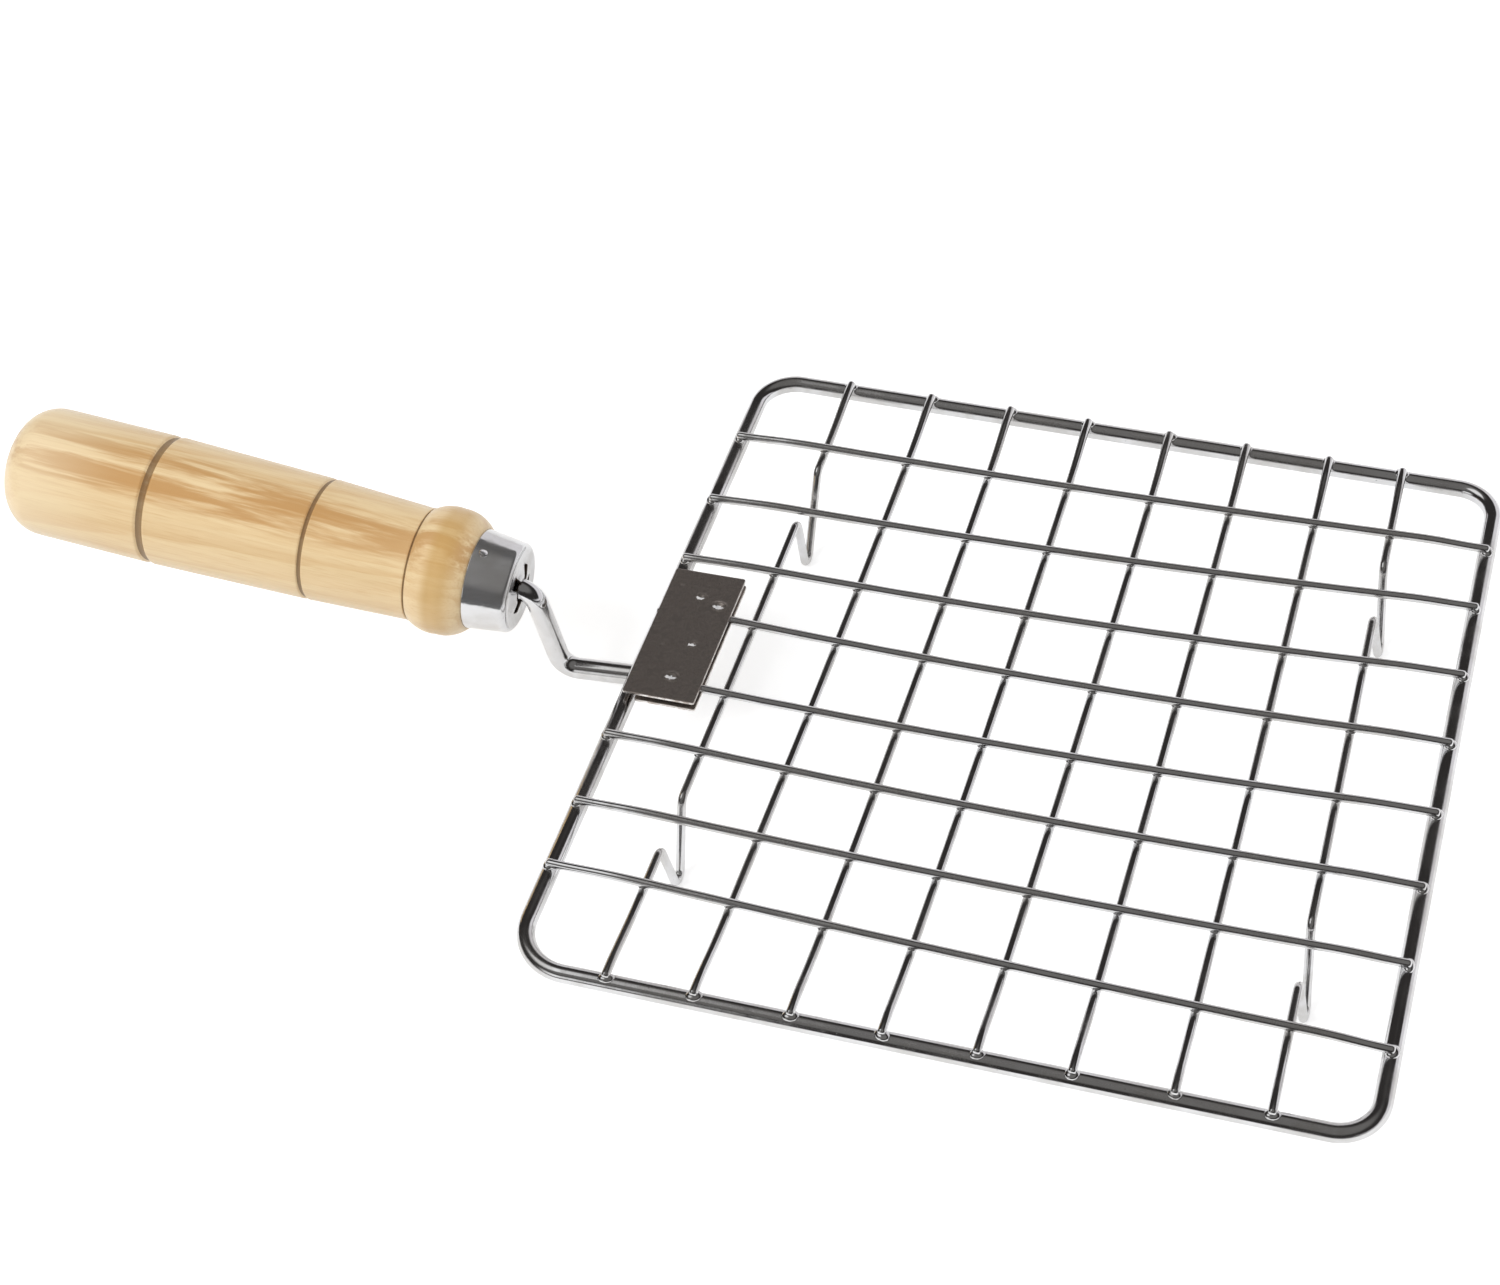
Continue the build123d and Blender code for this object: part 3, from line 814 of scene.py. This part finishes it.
class PAPAD_OT_plates(bpy.types.Operator):
    """Make the two sheet plates that hold the rod to the mesh."""

    bl_idname = "papad.plates"
    bl_label = "Plates"

    right, near, far = -72.55, -17.4, 21.4
    side_zone_x = (-86.5, -72.8)  # sheared sides lie outside these
    side_zone_y = (-17.2, 21.2)
    corner_round = 0.5
    edge_round = 0.14
    flat = 0.99  # a face is part of the flat top if its normal's z is above this
    dent_grid = 0.3
    glint_depth = 0.1  # dents deeper than this get a painted glint

    # Spot welds that dent the upper plate: x, y, width and depth
    dents = ((-80.9, 13.8, 0.9, 0.26), (-75.9, 11.9, 1.2, 0.40), (-78.2, -0.5, 0.8, 0.20),
             (-79.8, -10.9, 1.1, 0.32), (-86.4, 17.0, 0.8, 0.07), (-85.0, -1.6, 0.8, 0.07))

    def execute(self, context):
        thickness = context.scene.grill_sizes.leaf_thickness / MM
        finishes = self.finishes(context.scene.grill_colours)
        for name, node, left, base, dents in (
            ("upper_plate", "handle_plate_top", -89.45, 20.1, self.dents),
            ("lower_plate", "handle_plate_bottom", -86.95, 17.9, ()),
        ):
            shape = self.sheet(left, base, thickness)
            if dents:
                self.cut_grid(shape, left)
                self.press(shape, base + thickness, dents)
            for face in shape.faces:
                face.material_index = self.face_finish(face, base + thickness, dents)
            finish_piece(name, shape, finishes, [node], math.radians(50))
        return {"FINISHED"}

    def finishes(self, colours):
        """The dull plating, the sheared sides and the painted glints on the spot welds."""
        dull = [value * 0.6 for value in colours.plate_steel]
        return [
            metal("dull_plate_steel", colours.plate_steel, dull, roughness=(0.34, 0.50),
                  clouds=420, fine=1300, specks=0.25, bump=0.00001, speck_tone=0.6, satin=0.05),
            metal("sheared_edge", (0.86, 0.84, 0.82), colours.plate_steel, roughness=(0.25, 0.4),
                  clouds=500, fine=900, specks=0.2, bump=0.00001),
            # a white, mostly matt painted glint on each deep spot-weld dent
            metal("bare_spot", (0.95, 0.94, 0.93), colours.plating, roughness=(0.35, 0.5),
                  clouds=900, fine=2500, specks=0.2, bump=0.00001, satin=0.7),
        ]

    def face_finish(self, face, top, dents):
        """1 for a sheared side, 2 for the painted glint on a spot weld and 0 for the rest."""
        centre = face.calc_center_median()
        inside = (self.side_zone_x[0] <= centre.x <= self.side_zone_x[1]
                  and self.side_zone_y[0] <= centre.y <= self.side_zone_y[1])
        if centre.z < top - 0.13 and abs(face.normal.z) < 0.75 and not inside:
            return 1
        # each painted glint is a flat ellipse, set off a little from its dent's middle
        for x, y, width, depth in dents:
            reach = math.hypot((centre.x - x + 0.2) / 1.1, (centre.y - y + 0.35) / 0.55)
            if depth > self.glint_depth and reach < width:
                return 2
        return 0

    def sheet(self, left, base, thickness):
        """A sheared sheet with slightly rounded corners and edges."""
        shape = bmesh.new()
        bmesh.ops.create_cube(shape, size=1.0)
        bmesh.ops.scale(shape, verts=shape.verts,
                        vec=(self.right - left, self.far - self.near, thickness))
        bmesh.ops.translate(
            shape, verts=shape.verts,
            vec=((left + self.right) / 2, (self.near + self.far) / 2, base + thickness / 2))
        upright = [edge for edge in shape.edges
                   if abs(edge.verts[0].co.z - edge.verts[1].co.z) > thickness / 2]
        self.round_off(shape, upright, self.corner_round)
        rims = [edge for edge in shape.edges if edge.calc_face_angle(0) > 1.2]
        self.round_off(shape, rims, self.edge_round)
        return shape

    def round_off(self, shape, edges, radius):
        bmesh.ops.bevel(shape, geom=edges, offset=radius, offset_type="OFFSET", segments=3,
                        profile=0.5, affect="EDGES", material=-1)

    def cut_grid(self, shape, left):
        """Divides the flat top into a fine grid."""
        for axis, low, high in ((0, left, self.right), (1, self.near, self.far)):
            along = low + self.dent_grid
            while along < high:
                faces = [face for face in shape.faces if face.normal.z > self.flat]
                place, normal = [0, 0, 0], [0, 0, 0]
                place[axis], normal[axis] = along, 1
                bmesh.ops.bisect_plane(shape, geom=with_borders(faces), plane_co=place,
                                       plane_no=normal)
                along += self.dent_grid

    def press(self, shape, top, dents):
        """Presses each dent into the top, with a raised rim round it."""
        for vert in shape.verts:
            if vert.co.z < top - 0.01:
                continue
            for x, y, width, depth in dents:
                reach = math.hypot(vert.co.x - x, (vert.co.y - y) * 1.25) / width
                rim = 0.55 * math.exp(-((reach - 1.15) / 0.35) ** 2)
                vert.co.z += depth * (rim - math.exp(-reach ** 2 * 1.6))


def with_borders(faces):
    """Faces with their edges and corners, as bmesh operators take them."""
    edges = {edge for face in faces for edge in face.edges}
    verts = {vert for face in faces for vert in face.verts}
    return [*faces, *edges, *verts]


def spin_profile(profile, steps):
    """Turns a chain of (place along the axis, radius) round the handle's axis."""
    shape = bmesh.new()
    verts = [shape.verts.new((place, 0, radius)) for place, radius in profile]
    edges = [shape.edges.new(pair) for pair in zip(verts, verts[1:])]
    bmesh.ops.spin(shape, geom=[*verts, *edges], cent=(0, 0, 0), axis=(1, 0, 0), angle=math.tau,
                   steps=steps, use_merge=True)
    bmesh.ops.remove_doubles(shape, verts=shape.verts, dist=MERGE)
    bmesh.ops.recalc_face_normals(shape, faces=shape.faces)
    return shape


def arc_through(first, middle, last, steps):
    """Points on the circle through three points, without the first one."""
    a, b, c = Vector(first), Vector(middle), Vector(last)
    turn = 2 * (a.x * (b.y - c.y) + b.x * (c.y - a.y) + c.x * (a.y - b.y))
    squares = [point.length_squared for point in (a, b, c)]
    centre = Vector((
        (squares[0] * (b.y - c.y) + squares[1] * (c.y - a.y) + squares[2] * (a.y - b.y)) / turn,
        (squares[0] * (c.x - b.x) + squares[1] * (a.x - c.x) + squares[2] * (b.x - a.x)) / turn,
    ))
    sweep = (a - centre).angle_signed(c - centre)
    points = []
    for step in range(1, steps + 1):
        points.append(tuple(centre + Matrix.Rotation(-sweep * step / steps, 2) @ (a - centre)))
    return points


class PAPAD_OT_ferrule(bpy.types.Operator):
    """Make the ferrule with its crimped face, and its nail."""

    bl_idname = "papad.ferrule"
    bl_label = "Ferrule"

    length = 10.0
    front_radius = 10.25
    taper = 1.25  # how much wider it is at the back
    # The face from the rim to the rod: place along the axis and radius
    face_profile = ((0.10, 7.9), (0.16, 7.2), (0.14, 6.5), (0.06, 5.8), (-0.04, 5.1), (-0.13, 4.4),
                    (-0.20, 3.8), (-0.25, 3.3), (-0.28, 2.75))

    slit_turns = (33, -48, -114, 140)  # degrees round the axis, from the top to the near side
    slit_half = 1.15  # half the width of a slit at its root
    slit_root = 2.5  # from the axis
    slit_lean = 0.10  # how fast a slit widens outwards, to each side
    slit_reach = 5.7
    petal_rises = (0.35, 0.1, 0.5, 0.25)  # of the tongues between the slits
    petal_hinge = 6.0
    petal_length = 3.3

    nail_place = 7.6
    nail_turn = 9.0  # degrees round the axis, from the top to the near side
    nail_tilt = (26.0, -8.0)  # degrees of its head, to the far side and to the mesh
    nail_head_radius = 0.98

    def execute(self, context):
        colours = context.scene.grill_colours
        finish = metal("ferrule_plating", colours.plating, colours.dull_plating,
                       roughness=(0.10, 0.20), clouds=90, fine=900, specks=0.3, bump=0.00004,
                       satin=0.12)
        # near-black brown on the sheet's cut edges: at the slits, the rod's hole and the back rim
        cut = metal("stained_cut", (0.13, 0.10, 0.08), (0.06, 0.045, 0.035), roughness=(0.4, 0.6),
                    clouds=900, fine=2500, specks=0.3, bump=0.00001, satin=0.6)
        profile = [(place, self.outer(place)) for place in (self.length, 9.7, 7.5, 5.2, 3.0, 1.4)]
        profile += arc_through((1.4, self.outer(1.4)), (0.35, 9.98), (0.0, 8.6), 7)
        shape = spin_profile([*profile, *self.face_profile], 96)
        self.cut_slits(shape)
        self.push_petals(shape)
        shape.transform(HANDLE_PLACE)
        piece = finish_piece("ferrule_cup", shape, [finish, cut], ["ferrule"],
                             math.radians(40))
        thick = piece.modifiers.new("sheet", "SOLIDIFY")
        thick.thickness = context.scene.grill_sizes.ferrule_sheet
        thick.offset = -1
        thick.use_even_offset = True
        thick.material_offset_rim = 1
        self.nail(colours)
        return {"FINISHED"}

    def outer(self, place):
        """Outer radius at a place along the axis."""
        return self.front_radius + self.taper * place / self.length

    def cut_slits(self, shape):
        """Opens four wedge slits from the rod outwards."""
        ways = [Matrix.Rotation(-math.radians(turn), 3, "X") for turn in self.slit_turns]
        for way in ways:
            for side in (1, -1):
                faces = [face for face in shape.faces
                         if face.calc_center_median().yz.length < self.slit_reach + 0.2
                         and (way.inverted() @ face.calc_center_median()).z > 0]
                lean = side * self.slit_lean
                bmesh.ops.bisect_plane(
                    shape, geom=with_borders(faces), dist=1e-5,
                    plane_co=way @ Vector((0, side * self.slit_half, self.slit_root)),
                    plane_no=way @ Vector((0, math.cos(lean), -math.sin(lean))))
        gone = []
        for face in shape.faces:
            centre = face.calc_center_median()
            on_face = centre.yz.length <= self.slit_reach and centre.x <= 0.5
            if on_face and any(self.in_slit(way.inverted() @ centre) for way in ways):
                gone.append(face)
        bmesh.ops.delete(shape, geom=gone, context="FACES")

    def in_slit(self, place):
        """Whether a place, turned back to the top, is in the slit."""
        half = self.slit_half + (place.z - self.slit_root) * self.slit_lean
        return place.z > 0 and abs(place.y) < half

    def push_petals(self, shape):
        """The tongues between the slits stand out unevenly, and curl in at the rod."""
        ends = sorted(-math.radians(turn) for turn in self.slit_turns)
        for vert in shape.verts:
            reach = vert.co.yz.length
            if reach > self.petal_hinge or vert.co.x > 0.3:
                continue
            angle = math.atan2(-vert.co.y, vert.co.z)
            petal = sum(angle > end for end in ends) % len(ends)
            near = (self.petal_hinge - reach) / self.petal_length
            curl = 0.9 * max(0.0, near - 0.7) ** 1.5
            vert.co.x -= self.petal_rises[petal] * near ** 1.4 - curl

    def nail(self, colours):
        """A small nail with a tilted, slightly domed head."""
        finish = metal("bright_nail", (0.92, 0.91, 0.91), colours.plating, roughness=(0.22, 0.34),
                       clouds=300, fine=2500, specks=0.2, bump=0.00001)
        shape = bmesh.new()
        head = bmesh.ops.create_uvsphere(shape, u_segments=24, v_segments=12,
                                         radius=self.nail_head_radius)["verts"]
        for vert in head:
            vert.co.z = 0.30 + vert.co.z * (0.34 if vert.co.z > 0 else 0.22)
        across, along = (math.radians(angle) for angle in self.nail_tilt)
        tilt = Matrix.Rotation(across, 4, "X") @ Matrix.Rotation(along, 4, "Y")
        bmesh.ops.transform(shape, matrix=tilt, verts=head)
        bmesh.ops.create_cone(shape, cap_ends=True, segments=16, radius1=0.5, radius2=0.5,
                              depth=5.7, matrix=Matrix.Translation((0, 0, -2.7)))
        around = Matrix.Rotation(-math.radians(self.nail_turn), 4, "X")
        seat = Matrix.Translation((self.nail_place, 0, self.outer(self.nail_place)))
        shape.transform(HANDLE_PLACE @ around @ seat)
        finish_piece("nail_head", shape, [finish], ["ferrule_nail"],
                     math.radians(50))


class PAPAD_OT_grip(bpy.types.Operator):
    """Make the turned wooden grip."""

    bl_idname = "papad.grip"
    bl_label = "Grip"

    bead_radius = 14.6
    butt_radius = 15.0
    end = 123.6
    butt_round = 8.5
    round_middle = 6.01  # from the middle of the butt's round to its arc, both ways
    groove_core = 0.8  # share of a groove's width that is burnt dark

    def execute(self, context):
        colours = context.scene.grill_colours
        burnt = []
        profile = self.front()
        profile += self.groove(23.2, 13.1, 0.6, 0.4, burnt)
        profile += self.swell(24.1, 13.02, 47.0, 14.06, 8)
        profile += self.groove(48.0, 14.1, 1.3, 0.7, burnt)
        profile += self.swell(49.1, 14.13, 85.3, 14.97, 12)
        profile += self.groove(86.9, 15.0, 2.2, 0.9, burnt)
        profile += self.butt()
        shape = spin_profile(profile, 112)
        for face in shape.faces:
            place = face.calc_center_median()
            in_groove = (any(low < place.x < high for low, high in burnt)
                         and place.yz.length > 11.5)
            # the tenon's face, seen through the ferrule's slits, takes the dark groove wood as
            # painted shade
            if in_groove or place.x < 2.5:
                face.material_index = 1
        shape.transform(HANDLE_PLACE)
        finishes = [turned_wood("turned_wood", colours),
                    turned_wood("burnt_groove", colours, groove=True)]
        finish_piece("grip_wood", shape, finishes, ["handle_grip"],
                     math.radians(50))
        return {"FINISHED"}

    def front(self):
        """Profile of the tenon, the shoulder and the bead: places along the axis and radii."""
        top = (16.7, self.bead_radius)
        profile = [(2.2, 2.6), (2.2, 9.6), (2.8, 9.95), (10.0, 10.85), (10.0, 11.5), (10.08, 11.78)]
        profile += arc_through(profile[-1], (12.23, 13.55), top, 12)
        return profile + arc_through(top, (20.83, 14.25), (22.9, 13.22), 12)

    def butt(self):
        """Profile of the last swell and the rounded end."""
        inner = self.butt_radius - self.butt_round
        profile = self.swell(88.4, self.butt_radius, 114.1, self.butt_radius, 8)
        profile += arc_through(
            (self.end - self.butt_round, self.butt_radius),
            (self.end - self.butt_round + self.round_middle, inner + self.round_middle),
            (self.end, inner), 14)
        return profile + [(123.62, 4.0), (self.end, 0.0)]

    def groove(self, place, radius, width, depth, burnt):
        """Points of a turned groove with slightly broken edges. Adds its core to burnt."""
        half = width / 2
        burnt.append((place - half * self.groove_core, place + half * self.groove_core))
        side = [(1.25, 0.0), (1.0, 0.06), (0.72, 0.55), (0.35, 0.92)]
        shape = [(-along, down) for along, down in side] + [(0.0, 1.0)] + side[::-1]
        return [(place + half * along, radius - depth * down) for along, down in shape]

    def swell(self, start, start_radius, end, end_radius, steps):
        """Evenly spaced points of a straight taper."""
        shares = [step / steps for step in range(steps + 1)]
        return [(start + (end - start) * share, start_radius + (end_radius - start_radius) * share)
                for share in shares]


class PAPAD_PT_panel(bpy.types.Panel):
    """The grill's pieces, in the sidebar of the 3D view."""

    bl_idname = "PAPAD_PT_panel"
    bl_label = "Papad Grill"
    bl_space_type = "VIEW_3D"
    bl_region_type = "UI"
    bl_category = "Papad Grill"

    def draw(self, context):
        for operator in OPERATORS:
            self.layout.operator(operator.bl_idname)


OPERATORS = (PAPAD_OT_stage, PAPAD_OT_ring, PAPAD_OT_mesh, PAPAD_OT_welds, PAPAD_OT_rod,
             PAPAD_OT_plates, PAPAD_OT_ferrule, PAPAD_OT_grip)
GROUPS = {"grill_sizes": GrillSizes, "grill_colours": GrillColours, "grill_stage": GrillStage}
CLASSES = (*GROUPS.values(), *OPERATORS, PAPAD_PT_panel)


def register():
    for kind in CLASSES:
        bpy.utils.register_class(kind)
    for name, group in GROUPS.items():
        setattr(bpy.types.Scene, name, bpy.props.PointerProperty(type=group))


def unregister():
    for name in GROUPS:
        delattr(bpy.types.Scene, name)
    for kind in reversed(CLASSES):
        bpy.utils.unregister_class(kind)


def main():
    register()
    bpy.ops.papad.stage()
    bpy.ops.papad.ring()
    bpy.ops.papad.mesh()
    bpy.ops.papad.welds()
    bpy.ops.papad.rod()
    bpy.ops.papad.plates()
    bpy.ops.papad.ferrule()
    bpy.ops.papad.grip()
    bpy.context.view_layer.update()


if __name__ == "__main__":
    main()
